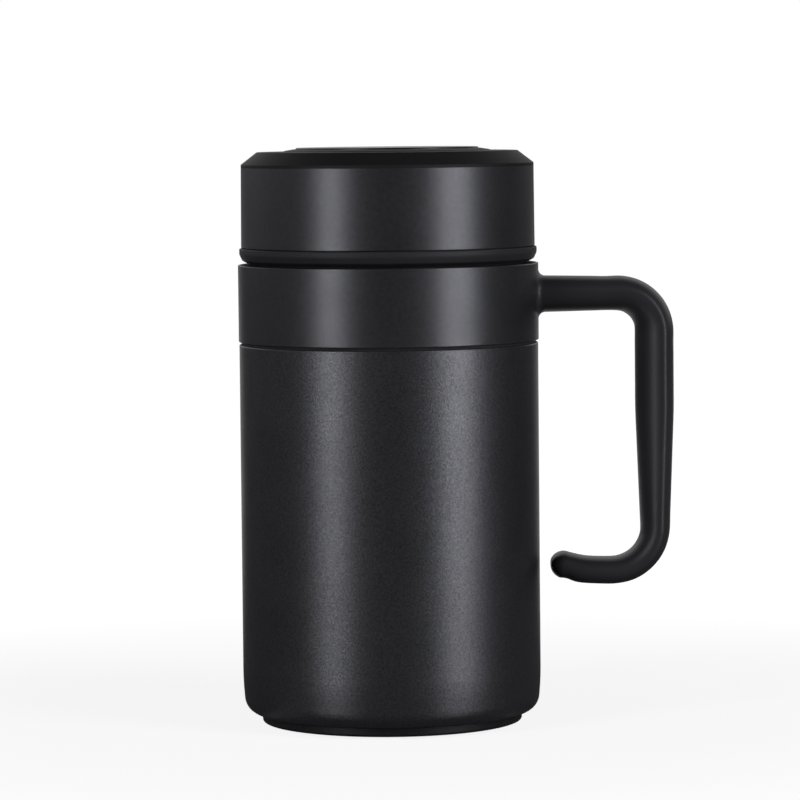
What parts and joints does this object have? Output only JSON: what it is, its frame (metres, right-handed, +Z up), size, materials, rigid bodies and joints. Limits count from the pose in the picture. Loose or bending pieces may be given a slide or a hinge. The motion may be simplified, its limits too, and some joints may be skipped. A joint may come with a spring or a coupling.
{
  "type": "lidded mug",
  "caption": "Double-wall insulated tea mug with a screw lid, a hook handle on a collar band and a lift-out strainer basket under the lid.",
  "frame": {"origin": "centre of the foot pad's underside, on the mug's axis", "axes": "+Z up along the mug's axis, +X towards the handle"},
  "size_m": [0.1188, 0.082, 0.1575],
  "materials": {
    "outer_shell": "fine-grained matt black powder coat",
    "outer_base": "bare pressed stainless steel",
    "vacuum_plug": "fused solder glass",
    "base_cover": "satin black paint",
    "foot_pad": "matt black soft pad",
    "inner_liner": "electropolished stainless steel",
    "liner_base": "electropolished stainless steel",
    "getter": "sintered grey metal",
    "collar_ring": "black moulded plastic",
    "collar_band": "satin black paint",
    "handle": "semi-gloss black moulded plastic",
    "handle_screw_left": "bare stainless steel",
    "handle_screw_right": "bare stainless steel",
    "lid_inner": "black moulded plastic",
    "lid_plug": "black moulded plastic",
    "lid_sleeve": "satin black paint",
    "lid_cap": "black moulded plastic",
    "lid_badge": "dark anodised disc, bright cut edge, left plain",
    "lid_insulation": null,
    "lid_seal": "translucent white silicone",
    "infuser_rim": "bright stainless steel",
    "infuser_wall": "bright perforated stainless steel",
    "infuser_base": "bright perforated stainless steel"
  },
  "bodies": {
    "mug": {"outer_shell": "outer_shell", "outer_base": "outer_base", "vacuum_plug": "vacuum_plug", "base_cover": "base_cover", "foot_pad": "foot_pad", "inner_liner": "inner_liner", "liner_base": "liner_base", "getter": "getter", "collar_ring": "collar_ring", "collar_band": "collar_band", "handle": "handle", "handle_screw_left": "handle_screw_left", "handle_screw_right": "handle_screw_right"},
    "seal": {"lid_seal": "lid_seal"},
    "lid": {"lid_inner": "lid_inner", "lid_plug": "lid_plug", "lid_sleeve": "lid_sleeve", "lid_cap": "lid_cap", "lid_badge": "lid_badge", "lid_insulation": "lid_insulation"},
    "infuser": {"infuser_rim": "infuser_rim", "infuser_wall": "infuser_wall", "infuser_base": "infuser_base"}
  },
  "joints": [
    {"name": "lid_lift", "type": "slide", "parent": "mug", "child": "seal", "axis": [0, 0, 1], "range_m": [0, 0.108]},
    {"name": "lid_turn", "type": "hinge", "parent": "seal", "child": "lid", "pos_m": [0, 0, 0.14], "axis": [0, 0, 1], "range_deg": [0, 3240]},
    {"name": "infuser_lift", "type": "slide", "parent": "mug", "child": "infuser", "axis": [0, 0, 1], "range_m": [0, 0.054]}
  ],
  "couplings": [
    {"joint": "lid_lift", "follows": "lid_turn", "m_per_rad": 0.0019099},
    {"joint": "infuser_lift", "follows": "lid_turn", "m_per_rad": 0.00095493}
  ]
}
